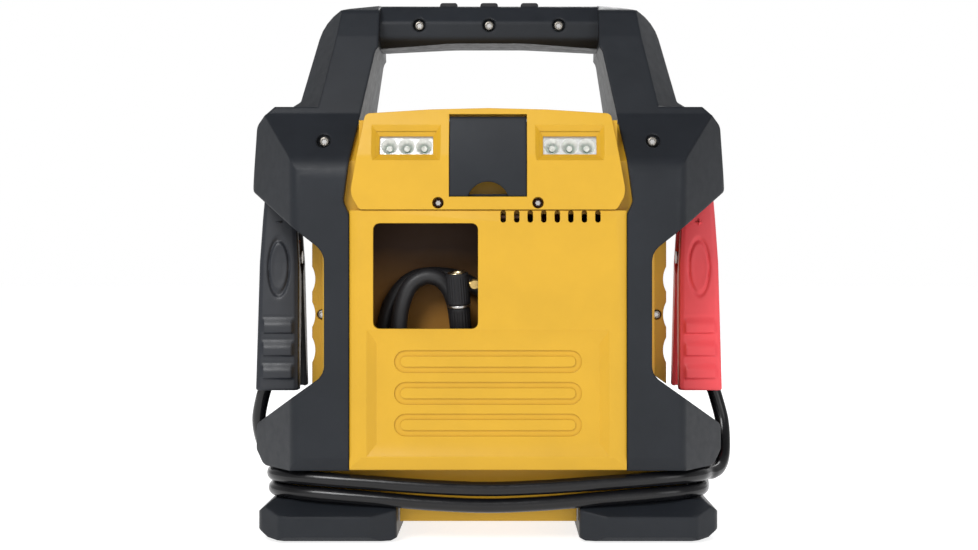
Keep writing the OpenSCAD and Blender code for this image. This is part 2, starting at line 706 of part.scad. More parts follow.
chuck_base = [-17.5, -76, 127];
chuck_turn = [10, -4];      // lean of the chuck towards the window and to the left
chuck_axis = [-sin(4) * cos(10), -sin(10), cos(4) * cos(10)];
hose_route = [
    [18, -53, 165], [9, -53, 165], [-4, -52, 170], [-26, -50.5, 180], [-52, -50.5, 179], [-68, -50.5, 163],
    [-74, -50.5, 142], [-74, -50.5, 124.5], [-70.4, -50.5, 111.2], [-60.6, -50.5, 101.4], [-47.3, -50.7, 97.8],
    [-34, -51.2, 101.4], [-24.2, -52, 111.2], [-20.6, -53.5, 125], [-21.5, -57, 144], [-24.6, -60.5, 164],
    [-32, -62.6, 176.5], [-43, -63, 180], [-54.5, -63, 173.5], [-61, -63, 158], [-63, -63, 138],
    [-63, -63, 119], [-59.9, -64, 106], [-51.5, -66, 97.6], [-40, -68.5, 94.5], [-28.5, -71, 97.6],
    [-20.1, -72.8, 106], chuck_base - 12 * chuck_axis, chuck_base];
module air_hose() color(rubber) tube(hose_route, 1, hose_d, [0, 1, 0]);

chuck_bore_r = 4.1;
lever_x = 11.4;             // lever pivot, from the chuck's own axis and base
lever_z = 48;
module at_chuck() translate(chuck_base) rotate([chuck_turn[0], chuck_turn[1], 0]) children();
module chuck_body() color(black) at_chuck() difference() {
    union() {
        cylinder(h = 33, r = 7.2);
        translate([0, 0, 33]) cylinder(h = 1.4, r = 7.7);
        translate([0, 0, 34.4]) cylinder(h = 22.6, r = 7.9);
        // lug for the lever
        box([6, -2, lever_z - 2.4], [lever_x, 2, lever_z + 2.4]);
        translate([lever_x, 0, lever_z]) rod_y(-2, 2, 2.4);
    }
    translate([0, 0, 36]) cylinder(h = 30, r = chuck_bore_r);
    translate([lever_x, 0, lever_z]) rod_y(-5, 5, 1.25);
}
module chuck_lever() color(brass) at_chuck() translate([lever_x, 0, lever_z]) {
    for (y = [-3.6, 2.3]) {
        rod_y(y, y + 1.3, 2.9);
        along_y(y, y + 1.3) polygon([[0, 2.9], [3.3, 2.4], [4.5, -2], [0, -2.9]]);
    }
    rod_y(-3.6, 3.6, 1.2);
    along_y(-3.6, 3.6) polygon([[3, 2.4], [2.9, -3], [4, -18], [3.2, -29.6], [4.8, -30], [5.6, -18],
        [4.6, -3], [3.8, 2.4]]);
}

// ---- leads ----

// One full turn round the pedestal and up to the clamp; the red lead starts on the other side
black_route = [
    [-147, -5, 32.2], [-147, -28, 32.2], [-150, -50, 32.2], [-146, -68, 32.2], [-132, -82, 32], [-110, -88, 31],
    [-76, -90, 28.5], [-38, -91, 25.5], [0, -91, 24], [38, -91, 25.5], [76, -90, 28.5], [110, -88, 31],
    [132, -82, 32], [146, -68, 32.2], [151, -50, 33], [150.5, -36, 37.5], [149.5, -22, 42.4], [149, 8, 42.5],
    [150, 36, 42.5], [151, 54, 42.5], [146, 70, 42.5], [132, 83, 42.4], [110, 89, 41.5], [76, 91, 39.3],
    [38, 92, 36.8], [0, 92, 35.5], [-38, 92, 36.8], [-76, 91, 39.3], [-110, 89, 41.5], [-132, 83, 42.4],
    [-146, 71, 42.5], [-153, 57, 42.4], [-158.5, 46, 42.2], [-164, 34, 44.5], [-168, 21, 51], [-169.8, 8, 62],
    [-169.6, -3, 76], [-166, -10, 91], [-161.5, -12, 106], [-156.5, -11.2, 128],
    [-156, -11, 139], [-156, -11, 150]];
turn_points = 32;       // points of the turn itself, the same for both leads but half a turn apart
red_route = concat(
    [for (k = [0:turn_points - 1]) [-black_route[k][0], -black_route[k][1], black_route[k][2]]],
    [[158.5, -50, 42.2], [164, -41, 44.5], [168, -31, 51], [169.8, -22, 62], [169.6, -15, 76],
     [166, -12.5, 91], [161.5, -12, 106], [156.5, -11.2, 128], [156, -11, 139], [156, -11, 150]]);
module black_lead() color(black) tube(black_route, 1, lead_d, [1, 0, 0]);
module red_lead() color(black) tube(red_route, 1, lead_d, [1, 0, 0]);

module gland() color(rubber) difference() {
    union() {
        translate([147, 0, 32.2]) rod_y(-19, 5, lead_d / 2);
        translate([0, 0, 27.2]) box([140, -19, 0], [149, -3, 9.9]);
    }
}
module red_gland() gland();
module black_gland() rotate([0, 0, 180]) gland();

// ---- clamps ----

clamp_widths = mirrored([[7.5, 286, 3], [11.2, 238, 4], [12.4, 222, 4], [14.3, 190, 0], [15.5, 98, 2]]);
cover_profile = [[-5, 286], [-10, 281], [-14.5, 262], [-18, 225], [-21, 190], [-26.5, 140], [-31.5, 98],
    [-25, 98], [-21, 130], [-15.6, 168], [-12.3, 184], [-11.3, 205], [-8.3, 236], [-4.7, 262], [-4.7, 286]];
jaw_profile = [[-4.5, 285], [-4.5, 262], [-8.1, 236], [-11.1, 205], [-12.1, 186],
    [-12.1 + jaw_steel, 186], [-11.1 + jaw_steel, 205], [-8.1 + jaw_steel, 236], [-2.4, 262], [-2.4, 285]];

skirt_profile = [[-30, 98], [-20, 98], [-10, 150], [-6, 172], [-6, 184], [-12, 186]];
module clamp_cover() intersection() {
    union() {
        along_x(-20, 20) polygon(cover_profile);
        difference() {
            along_x(-20, 20) polygon(skirt_profile);
            along_y(-40, 0) polygon([[-11.9, 188], [11.9, 188], [12.8, 97], [-12.8, 97]]);
        }
    }
    along_y(-40, 0) polygon(rounded(clamp_widths));
}
module clamp_jaw(ear_x, crimp) difference() {
    union() {
        along_x(-6.8, 6.8) polygon(jaw_profile);
        along_x(-ear_x - 1.6, ear_x + 1.6) polygon([[-10, 207], [-11.3, 205], [-12.1, 186], [-9.5, 185]]);
        both_sides() along_x(ear_x, ear_x + 1.6) {
            translate([0, clamp_pivot_z]) circle(r = 7);
            polygon([[-11, 206], [-12, 186], [0, 187.5], [0, 200.5]]);
        }
        if (crimp) {
            box([-4, -12.1, 162], [7, -10.1, 187]);
            box([-1, -15.4, 150], [8, -6.6, 166]);
        }
    }
    rod_at_pivot(3);
}
module rod_at_pivot(r) translate([0, 0, clamp_pivot_z]) rod_x(-20, 20, r);

module at_red_clamp() translate([clamp_x, 0, 0]) children();
module at_black_clamp() mirror([1, 0, 0]) at_red_clamp() children();
module black_rear_handle() color(black) at_black_clamp() clamp_cover();
module black_front_handle() color(black) at_black_clamp() mirror([0, 1, 0]) clamp_cover();
module red_rear_handle() color(red) at_red_clamp() clamp_cover();
module red_front_handle() color(red) at_red_clamp() mirror([0, 1, 0]) clamp_cover();
module black_rear_jaw() color(copper) at_black_clamp() clamp_jaw(7.8, true);
module black_front_jaw() color(copper) at_black_clamp() mirror([0, 1, 0]) clamp_jaw(9.8, false);
module red_rear_jaw() color(copper) at_red_clamp() clamp_jaw(7.8, true);
module red_front_jaw() color(copper) at_red_clamp() mirror([0, 1, 0]) clamp_jaw(9.8, false);
module clamp_pins() color(steel) for (s = [0, 1]) mirror([s, 0, 0]) at_red_clamp()
    translate([0, 0, clamp_pivot_z]) {
        rod_x(-13.8, 13.8, 2.95);
        rod_x(-14.6, -11.7, 4.6);
        rod_x(11.7, 13.9, 4.6);
    }
module clamp_springs() color(steel) for (s = [0, 1]) mirror([s, 0, 0]) at_red_clamp()
    translate([-7, 0, clamp_pivot_z]) rotate([0, 90, 0]) difference() {
        cylinder(h = 14, r = 5.6);
        translate([0, 0, -1]) cylinder(h = 16, r = 3.4);
    }

// ---- screws ----

module screw(head_y, length, r = 1.9, head_r = 3.4) {
    rod_y(head_y - 2.2, head_y, head_r);
    rod_y(head_y - 0.1, head_y + length, r);
}
module frame_screws() color(steel) {
    for (x = handle_screw_xs) translate([x, 0, handle_screw_z]) screw(-17.5, 29);
    both_sides() translate([shoulder_screw[0], 0, shoulder_screw[2]]) screw(shoulder_screw[1], 12);
}
module case_screws() color(steel) {
    both_sides() translate([side_screw[0], 0, side_screw[2]]) screw(-4, 10.8, 1.7, 3.2);
    for (x = [-33.8, 33.8]) translate([x, 0, 229.8]) screw(-93, 8, 1.8, 3.2);
    both_sides() translate([60, 0, 232]) mirror([0, 1, 0]) screw(-93, 8, 1.8, 3.2);
}
module foot_screws() color(steel) both_sides() for (y = foot_screw_ys) translate([foot_screw_x, y, 0]) {
    translate([0, 0, 13.5]) cylinder(h = 2.5, r = 4.2);
    translate([0, 0, 15.9]) cylinder(h = 20, r = 2.1);
}

rear_frame_shell();
front_frame_shell();
grip_pad();
rear_case_shell();
front_case_shell();
lamp_pod_cover();
hose_panel();
hose_tray();
base_pedestal();
left_foot();
right_foot();
foot_pads();
front_console();
front_panel();
socket_door();
door_hinge_pin();
socket_panel();
power_socket();
usb_port();
lamp_lenses();
lamp_reflectors();
lamp_board();
display_window();
light_button();
air_button();
check_button();
power_knob();
switch_body();
charge_inlet();
charge_flap();
battery();
battery_strap();
main_fuse();
main_board();
compressor_frame();
compressor_motor();
motor_pinion();
crank_gear();
compressor_piston();
hose_outlet();
air_hose();
chuck_body();
chuck_lever();
black_lead();
red_lead();
black_gland();
red_gland();
black_rear_handle();
black_front_handle();
black_rear_jaw();
black_front_jaw();
red_rear_handle();
red_front_handle();
red_rear_jaw();
red_front_jaw();
clamp_pins();
clamp_springs();
frame_screws();
case_screws();
foot_screws();
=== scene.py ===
"""Jump starter pack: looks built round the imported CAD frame. Metres, +Z up, -Y is the rear side."""

import json
import math

import bmesh
import bpy
from mathutils import Matrix, Vector
from mathutils.bvhtree import BVHTree
from mathutils.kdtree import KDTree


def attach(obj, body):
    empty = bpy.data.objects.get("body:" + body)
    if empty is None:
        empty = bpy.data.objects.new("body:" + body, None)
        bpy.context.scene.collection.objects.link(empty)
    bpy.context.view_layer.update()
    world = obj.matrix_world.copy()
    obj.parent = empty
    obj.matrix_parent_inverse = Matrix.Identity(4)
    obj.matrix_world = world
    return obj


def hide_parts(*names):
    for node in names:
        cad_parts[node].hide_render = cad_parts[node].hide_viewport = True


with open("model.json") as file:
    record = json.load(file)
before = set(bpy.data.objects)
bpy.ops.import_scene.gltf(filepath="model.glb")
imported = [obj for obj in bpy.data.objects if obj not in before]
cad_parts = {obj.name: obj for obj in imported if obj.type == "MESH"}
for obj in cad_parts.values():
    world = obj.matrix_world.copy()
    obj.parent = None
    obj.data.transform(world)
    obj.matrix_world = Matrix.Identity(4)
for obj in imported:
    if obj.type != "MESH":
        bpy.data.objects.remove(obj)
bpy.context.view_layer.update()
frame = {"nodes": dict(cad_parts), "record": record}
N = frame["nodes"]
BODY_OF = {n: name for name, group in frame["record"]["behaviour"]["bodies"].items() for n in group}
MM = 0.001
scene = bpy.context.scene
scene.view_settings.view_transform = "Standard"

# ---------------------------------------------------------------- camera

cam_data = bpy.data.cameras.new("camera")
cam_data.lens = 57.8
cam_data.sensor_width = 36.0
cam_data.shift_x = -0.0141
cam_data.clip_start = 0.01
cam_data.clip_end = 200
camera = bpy.data.objects.new("camera", cam_data)
scene.collection.objects.link(camera)
camera.location = (0.010, -1.160, 0.181)
camera.rotation_euler = (math.radians(90), 0, 0)
scene.camera = camera

# ---------------------------------------------------------------- small helpers


def add(name, mesh, material=None, body="pack", slot=None, smooth=True):
    obj = bpy.data.objects.new(name, mesh)
    scene.collection.objects.link(obj)
    if material:
        mesh.materials.clear()
        mesh.materials.append(material)
    if smooth:
        for p in mesh.polygons:
            p.use_smooth = True
    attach(obj, body)
    return obj


def mesh_of(name, verts, faces):
    me = bpy.data.meshes.new(name)
    me.from_pydata([Vector(v) for v in verts], [], faces)
    me.validate()
    bm = bmesh.new()
    bm.from_mesh(me)
    bmesh.ops.remove_doubles(bm, verts=bm.verts, dist=1e-6)
    bmesh.ops.recalc_face_normals(bm, faces=bm.faces)
    bm.to_mesh(me)
    bm.free()
    return me


def lerp(table, x):
    """Straight-line reading of a table of (x, value), in rising x."""
    if x <= table[0][0]:
        return table[0][1]
    for (a, va), (b, vb) in zip(table, table[1:]):
        if x <= b:
            return va + (vb - va) * (x - a) / (b - a)
    return table[-1][1]


def ease(t):
    t = max(0.0, min(1.0, t))
    return t * t * (3 - 2 * t)


def smooth_route(points, steps):
    """Points along a Catmull-Rom line through the given ones, as the CAD tube has."""
    pts = [Vector(p) for p in points]
    out = []
    n = len(pts)
    for i in range(n - 1):
        a, b, c, d = pts[max(i - 1, 0)], pts[i], pts[i + 1], pts[min(i + 2, n - 1)]
        for k in range(steps):
            t = k / steps
            out.append(0.5 * (2 * b + (c - a) * t + (2 * a - 5 * b + 4 * c - d) * t * t
                              + (3 * b - a - 3 * c + d) * t ** 3))
    out.append(pts[-1])
    return out


# ---------------------------------------------------------------- materials


class Mat:
    def __init__(self, name):
        self.m = bpy.data.materials.new(name)
        self.m.use_nodes = True
        self.t = self.m.node_tree
        self.t.nodes.clear()
        self.out = self.t.nodes.new("ShaderNodeOutputMaterial")
        self.b = self.t.nodes.new("ShaderNodeBsdfPrincipled")
        self.t.links.new(self.b.outputs["BSDF"], self.out.inputs["Surface"])
        self.coord = self.t.nodes.new("ShaderNodeTexCoord").outputs["Object"]

    def set(self, **kw):
        for k, v in kw.items():
            self.b.inputs[k.replace("_", " ")].default_value = v
        return self

    def noise(self, scale, detail=3, rough=0.5, stretch=None, distort=0.0):
        n = self.t.nodes.new("ShaderNodeTexNoise")
        n.inputs["Scale"].default_value = scale
        n.inputs["Detail"].default_value = detail
        n.inputs["Roughness"].default_value = rough
        n.inputs["Distortion"].default_value = distort
        src = self.coord
        if stretch:
            mp = self.t.nodes.new("ShaderNodeMapping")
            mp.inputs["Scale"].default_value = stretch
            self.t.links.new(src, mp.inputs["Vector"])
            src = mp.outputs["Vector"]
        self.t.links.new(src, n.inputs["Vector"])
        return n.outputs["Fac"]

    def spread(self, fac, low, high, to_low=0.0, to_high=1.0):
        n = self.t.nodes.new("ShaderNodeMapRange")
        n.inputs["From Min"].default_value = low
        n.inputs["From Max"].default_value = high
        n.inputs["To Min"].default_value = to_low
        n.inputs["To Max"].default_value = to_high
        self.t.links.new(fac, n.inputs["Value"])
        return n.outputs["Result"]

    def colour(self, fac, a, b):
        n = self.t.nodes.new("ShaderNodeMix")
        n.data_type = "RGBA"
        n.inputs["A"].default_value = (*a, 1)
        n.inputs["B"].default_value = (*b, 1)
        self.t.links.new(fac, n.inputs["Factor"])
        self.t.links.new(n.outputs["Result"], self.b.inputs["Base Color"])
        return self

    def split_z(self, z0, z1, low, high):
        """One colour at height z0 and another at z1, with a faint unevenness."""
        sep = self.t.nodes.new("ShaderNodeSeparateXYZ")
        self.t.links.new(self.coord, sep.inputs["Vector"])
        add = self.t.nodes.new("ShaderNodeMath")
        add.operation = "MULTIPLY_ADD"
        add.inputs[1].default_value = 0.01
        self.t.links.new(self.noise(30, 3), add.inputs[0])
        self.t.links.new(sep.outputs["Z"], add.inputs[2])
        return self.colour(self.spread(add.outputs["Value"], z0, z1), low, high)

    def rough(self, fac, low, high):
        self.t.links.new(self.spread(fac, 0.3, 0.7, low, high), self.b.inputs["Roughness"])
        return self

    def soften(self, radius):
        """Shading that rounds the edges left sharp."""
        n = self.t.nodes.new("ShaderNodeBevel")
        n.samples = 4
        n.inputs["Radius"].default_value = radius * MM
        self.t.links.new(n.outputs["Normal"], self.b.inputs["Normal"])
        return self

    def bump(self, fac, strength, distance):
        n = self.t.nodes.new("ShaderNodeBump")
        n.inputs["Strength"].default_value = strength
        n.inputs["Distance"].default_value = distance
        self.t.links.new(fac, n.inputs["Height"])
        last = self.b.inputs["Normal"]
        if last.is_linked:
            self.t.links.new(last.links[0].from_socket, n.inputs["Normal"])
        self.t.links.new(n.outputs["Normal"], self.b.inputs["Normal"])
        return self


def plastic(name, base, rough, spec=0.4, vary=0.05, grain=1700, bump=0.25, coat=0.0, soft=0.8):
    m = Mat(name)
    m.soften(soft)
    dark = [c * (1 - vary) for c in base]
    light = [min(1, c * (1 + vary)) for c in base]
    m.colour(m.spread(m.noise(22, 4, 0.6), 0.35, 0.65), dark, light)
    m.rough(m.noise(160, 3), rough - 0.04, rough + 0.05)
    m.bump(m.noise(grain, 2), bump, 0.00012)
    m.set(Specular_IOR_Level=spec, Coat_Weight=coat, Coat_Roughness=0.12)
    return m.m


def metal(name, base, rough, stretch=(1, 1, 14), vary=0.08):
    m = Mat(name)
    m.colour(m.spread(m.noise(60, 3), 0.3, 0.7), [c * (1 - vary) for c in base], base)
    m.rough(m.noise(420, 3, 0.5, stretch), rough - 0.06, rough + 0.08)
    m.bump(m.noise(900, 2, 0.5, stretch), 0.12, 0.0001)
    m.set(Metallic=1.0)
    return m.m


def rubber(name, base, rough, spec=0.35, grain=1200, bump=0.2, sheen=0.0):
    m = Mat(name)
    m.colour(m.spread(m.noise(45, 4), 0.35, 0.65), [c * 0.85 for c in base], [c * 1.2 for c in base])
    m.rough(m.noise(300, 3), rough - 0.05, rough + 0.06)
    m.bump(m.noise(grain, 3), bump, 0.00012)
    m.set(Specular_IOR_Level=spec, Sheen_Weight=sheen)
    return m.m


YELLOW = plastic("yellow_case", (0.64, 0.365, 0.022), 0.38, 0.34, 0.03)
# Hose bay colour: orange-brown at z 150 mm fading to dark brown at z 205 mm, painted shade that deepens
# towards the top of the bay.
_m = Mat("hose_bay_painted_shade")
_m.split_z(0.150, 0.205, (0.36, 0.165, 0.025), (0.05, 0.024, 0.012))
_m.rough(_m.noise(160, 3), 0.5, 0.6)
_m.bump(_m.noise(1700, 2), 0.2, 0.00012)
_m.set(Specular_IOR_Level=0.2)
BAY_PAINTED_SHADE = _m.m
BLACK = plastic("black_frame", (0.0150, 0.0175, 0.0220), 0.42, 0.24, 0.10, 1500, 0.4, soft=2.4)
BLACK_GRIP = plastic("black_clamp", (0.024, 0.027, 0.034), 0.36, 0.36, 0.08)
BLACK_IN = plastic("black_inside", (0.012, 0.012, 0.014), 0.6, 0.3)
RED = plastic("red_clamp", (0.86, 0.075, 0.090), 0.38, 0.4, 0.05)
RUBBER = rubber("soft_rubber", (0.014, 0.014, 0.016), 0.6)
HOSE = rubber("hose_rubber", (0.018, 0.018, 0.020), 0.48, 0.45, 500, 0.25)
LEAD = rubber("lead_rubber", (0.005, 0.005, 0.006), 0.20, 0.42, 260, 0.08)
STEEL = metal("screw_steel", (0.55, 0.54, 0.53), 0.30)
SCREW = metal("dark_screw", (0.27, 0.25, 0.22), 0.34)
# Pod screw heads: a near-black brown, painted shade of the deep holes they sit in.
SCREW_PAINTED_SHADE = metal("screw_painted_shade", (0.05, 0.03, 0.025), 0.4)
# Reflector material: its faint white emission is painted light, so the unlit reflectors glow bright.
_m = Mat("reflector_painted_glow")
_m.set(Metallic=0.55, Emission_Strength=0.16)
_m.b.inputs["Emission Color"].default_value = (1, 0.98, 0.93, 1)
_m.colour(_m.noise(300, 2), (0.90, 0.90, 0.87), (0.97, 0.97, 0.95))
_m.rough(_m.noise(500, 2), 0.16, 0.26)
REFLECTOR_PAINTED_GLOW = _m.m
BRASS = metal("brass", (0.62, 0.44, 0.17), 0.30)
GOLD = metal("pale_brass", (0.80, 0.66, 0.42), 0.26)
COPPER = metal("copper_jaw", (0.70, 0.33, 0.18), 0.32)
ALLOY = metal("cast_alloy", (0.50, 0.51, 0.53), 0.45, (1, 1, 1))
BOARD = plastic("circuit_board", (0.012, 0.12, 0.05), 0.4)
FUSE = plastic("fuse_orange", (0.75, 0.2, 0.02), 0.3)
CELL = plastic("battery_case", (0.03, 0.03, 0.034), 0.5)

_m = Mat("clear_lens")
_m.set(Roughness=0.04, IOR=1.49, Transmission_Weight=1.0)
_m.colour(_m.noise(90, 2), (0.96, 0.97, 0.98), (1, 1, 1))
_m.bump(_m.noise(700, 2), 0.05, 0.0001)
LENS = _m.m
# LED domes: their faint warm emission is painted light, so the unlit domes glow pale.
_m = Mat("lamp_dome_painted_glow")
_m.set(Roughness=0.15, IOR=1.5, Transmission_Weight=0.35, Emission_Strength=0.25)
_m.b.inputs["Emission Color"].default_value = (1, 0.97, 0.9, 1)
_m.colour(_m.noise(400, 2), (0.95, 0.94, 0.86), (1, 1, 0.98))
DOME_PAINTED_GLOW = _m.m
_m = Mat("display_glass")
_m.set(Roughness=0.08, IOR=1.5, Transmission_Weight=0.9)
_m.colour(_m.noise(60, 2), (0.25, 0.27, 0.3), (0.32, 0.34, 0.37))
DISPLAY = _m.m
_m = Mat("gauge_glow")
_m.set(Roughness=0.4, Emission_Strength=1.2)
_m.b.inputs["Emission Color"].default_value = (0.15, 0.9, 0.3, 1)
_m.colour(_m.noise(500, 2), (0.1, 0.6, 0.2), (0.15, 0.7, 0.25))
GLOW = _m.m

# ---------------------------------------------------------------- cords

CHUCK_BASE = Vector((-17.5, -76, 127))
CHUCK_TURN = Matrix.Rotation(math.radians(-4), 3, "Y") @ Matrix.Rotation(math.radians(10), 3, "X")
CHUCK_AXIS = CHUCK_TURN @ Vector((0, 0, 1))

HOSE_ROUTE = [
    (18, -53, 165), (9, -53, 165), (-4, -52, 170), (-26, -50.5, 180), (-52, -50.5, 179),
    (-68, -50.5, 163), (-74, -50.5, 142), (-74, -50.5, 124.5), (-70.4, -50.5, 111.2),
    (-60.6, -50.5, 101.4), (-47.3, -50.7, 97.8), (-34, -51.2, 101.4), (-24.2, -52, 111.2),
    (-20.6, -53.5, 125), (-21.5, -57, 144), (-24.6, -60.5, 164), (-32, -62.6, 176.5), (-43, -63, 180),
    (-54.5, -63, 173.5), (-61, -63, 158), (-63, -63, 138), (-63, -63, 119), (-59.9, -64, 106),
    (-51.5, -66, 97.6), (-40, -68.5, 94.5), (-28.5, -71, 97.6), (-20.1, -72.8, 106),
    tuple(CHUCK_BASE - 12 * CHUCK_AXIS), tuple(CHUCK_BASE)]
BLACK_ROUTE = [
    (-147, -5, 32.2), (-147, -28, 32.2), (-150, -50, 32.2), (-146, -68, 32.2), (-132, -82, 32),
    (-110, -88, 31), (-76, -90, 28.5), (-38, -91, 25.5), (0, -91, 24), (38, -91, 25.5), (76, -90, 28.5),
    (110, -88, 31), (132, -82, 32), (146, -68, 32.2), (151, -50, 33), (150.5, -36, 37.5),
    (149.5, -22, 42.4), (149, 8, 42.5), (150, 36, 42.5), (151, 54, 42.5), (146, 70, 42.5),
    (132, 83, 42.4), (110, 89, 41.5), (76, 91, 39.3), (38, 92, 36.8), (0, 92, 35.5), (-38, 92, 36.8),
    (-76, 91, 39.3), (-110, 89, 41.5), (-132, 83, 42.4), (-146, 71, 42.5), (-153, 57, 42.4),
    (-158.5, 46, 42.2), (-164, 34, 44.5), (-168, 21, 51), (-169.8, 8, 62), (-169.6, -3, 76),
    (-166, -10, 91), (-161.5, -12, 106), (-156.5, -11.2, 128), (-156, -11, 139), (-156, -11, 150)]
RED_ROUTE = [(-x, -y, z) for x, y, z in BLACK_ROUTE[:32]] + [
    (158.5, -50, 42.2), (164, -41, 44.5), (168, -31, 51), (169.8, -22, 62), (169.6, -15, 76),
    (166, -12.5, 91), (161.5, -12, 106), (156.5, -11.2, 128), (156, -11, 139), (156, -11, 150)]


def tube(name, route, diameter, material, node):
    pts = [p * MM for p in smooth_route(route, 8)]
    curve = bpy.data.curves.new(name, "CURVE")
    curve.dimensions = "3D"
    spline = curve.splines.new("POLY")
    spline.points.add(len(pts) - 1)
    for p, q in zip(spline.points, pts):
        p.co = (*q, 1)
    spline.use_smooth = True
    curve.bevel_depth = diameter / 2 * MM
    curve.bevel_resolution = 5
    curve.use_fill_caps = True
    curve.materials.append(material)
    obj = bpy.data.objects.new(name, curve)
    scene.collection.objects.link(obj)
    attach(obj, "pack")
    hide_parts(node)
    return obj


# ---------------------------------------------------------------- CAD shells with rounded edges


def worst_places(tree, mesh, w):
    """Where a rounded mesh strays from the solid it came from or folds over itself."""
    bad = [v.co.copy() for v in mesh.vertices if (tree.find_nearest(v.co)[3] or 0) > 0.62 * w]
    for p in mesh.polygons:
        if p.area < 1e-10:
            continue
        near = tree.find_nearest_range(p.center, 1.3 * w)
        if not near or max(n.dot(p.normal) for _, n, _, _ in near) < 0.45:
            bad.append(p.center.copy())
    return bad


def shell(node, material, width=0.9, angle=25, segments=2, body=None):
    """A copy of a CAD node with its sharp edges rounded, standing for it."""
    bm = bmesh.new()
    bm.from_mesh(N[node].data)
    bmesh.ops.remove_doubles(bm, verts=bm.verts, dist=2e-6)
    bmesh.ops.dissolve_degenerate(bm, dist=1e-6, edges=bm.edges)
    bmesh.ops.dissolve_limit(bm, angle_limit=math.radians(0.06), use_dissolve_boundaries=False,
                             verts=bm.verts, edges=bm.edges)
    bm.normal_update()
    bm.edges.ensure_lookup_table()
    w = width * MM
    tree = BVHTree.FromBMesh(bm)
    layer = bm.edges.layers.float.get("bevel_weight_edge") or bm.edges.layers.float.new("bevel_weight_edge")
    weight = {}
    for e in bm.edges:
        e[layer] = 0.0
        turn = e.calc_face_angle(0)
        e.smooth = turn < math.radians(angle)
        if not e.smooth and len(e.link_faces) == 2:
            weight[e.index] = 1.0
    me = bpy.data.meshes.new(node)
    obj = bpy.data.objects.new("skin_" + node, me)
    scene.collection.objects.link(obj)
    bev = obj.modifiers.new("round", "BEVEL")
    bev.width = w
    bev.segments = segments
    bev.limit_method = "WEIGHT"
    bev.use_clamp_overlap = False
    bev.loop_slide = False
    for attempt in range(8):
        for i, x in weight.items():
            bm.edges[i][layer] = x
        bm.to_mesh(me)
        graph = bpy.context.evaluated_depsgraph_get()
        rounded = bpy.data.meshes.new_from_object(obj.evaluated_get(graph))
        bad = worst_places(tree, rounded, w)
        if not bad:
            break
        places = KDTree(len(bad))
        for k, p in enumerate(bad):
            places.insert(p, k)
        places.balance()
        reach = w * (1.2 + 0.3 * attempt)
        for i, x in list(weight.items()):
            if not x:
                continue
            p, q = (v.co for v in bm.edges[i].verts)
            steps = max(1, int((q - p).length / w))
            if any(places.find(p.lerp(q, k / steps))[2] < reach for k in range(steps + 1)):
                weight[i] = 0.5 if x == 1.0 and attempt < 3 else 0.0
        bpy.data.meshes.remove(rounded)
    else:
        for i in weight:
            bm.edges[i][layer] = 0.0
        bm.to_mesh(me)
        graph = bpy.context.evaluated_depsgraph_get()
        rounded = bpy.data.meshes.new_from_object(obj.evaluated_get(graph))
    bm.free()
    obj.modifiers.clear()
    obj.data = rounded
    rounded.materials.clear()
    rounded.materials.append(material)
    for p in rounded.polygons:
        p.use_smooth = True
    wn = obj.modifiers.new("normals", "WEIGHTED_NORMAL")
    wn.keep_sharp = True
    wn.weight = 60
    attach(obj, body or BODY_OF[node])
    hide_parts(node)
    return obj


def paint(node, material):
    """A CAD node that is shown as it is, with a better material."""
    obj = N[node]
    obj.data.materials.clear()
    obj.data.materials.append(material)
    for p in obj.data.polygons:
        p.use_smooth = False


for node in ("rear_frame_shell", "front_frame_shell"):
    shell(node, BLACK, 1.3)
shell("grip_pad", RUBBER, 0.8)
for node in ("rear_case_shell", "front_case_shell"):
    shell(node, YELLOW, 0.9)
shell("lamp_pod_cover", YELLOW, 0.8)
shell("hose_panel", YELLOW, 0.8)
shell("front_panel", YELLOW, 0.8)
shell("hose_tray", BAY_PAINTED_SHADE, 0.8)
shell("base_pedestal", YELLOW, 1.0)
shell("left_foot", BLACK, 1.6)
shell("right_foot", BLACK, 1.6)
shell("foot_pads", RUBBER, 0.6)
shell("front_console", BLACK, 0.8)
shell("socket_door", BLACK, 0.5)
shell("socket_panel", YELLOW, 0.4)
shell("power_socket", STEEL, 0.5)
shell("usb_port", BLACK_IN, 0.4)
shell("power_knob", RED, 1.0, segments=3)
shell("charge_flap", RUBBER, 0.5)
shell("charge_inlet", BLACK_IN, 0.5)
for node in ("light_button", "air_button", "check_button"):
    shell(node, RUBBER, 0.7, segments=3)
for node in ("black_gland", "red_gland"):
    shell(node, RUBBER, 0.8)
for clamp in ("black", "red"):
    for half in ("rear", "front"):
        shell(f"{clamp}_{half}_jaw", COPPER, 0.35)
shell("clamp_pins", STEEL, 0.5)
for node, material in (
        ("door_hinge_pin", STEEL), ("lamp_lenses", LENS), ("lamp_reflectors", REFLECTOR_PAINTED_GLOW), ("lamp_board", BOARD),
        ("display_window", DISPLAY), ("switch_body", BLACK_IN), ("battery", CELL), ("battery_strap", STEEL),
        ("main_fuse", FUSE), ("main_board", BOARD), ("compressor_frame", ALLOY), ("compressor_motor", STEEL),
        ("motor_pinion", STEEL), ("crank_gear", BRASS), ("compressor_piston", ALLOY), ("hose_outlet", BRASS),
        ("chuck_lever", BRASS), ("clamp_springs", STEEL), ("frame_screws", STEEL), ("case_screws", STEEL),
        ("foot_screws", STEEL), ("chuck_body", BLACK_IN)):
    paint(node, material)

# ---------------------------------------------------------------- chuck on the hose


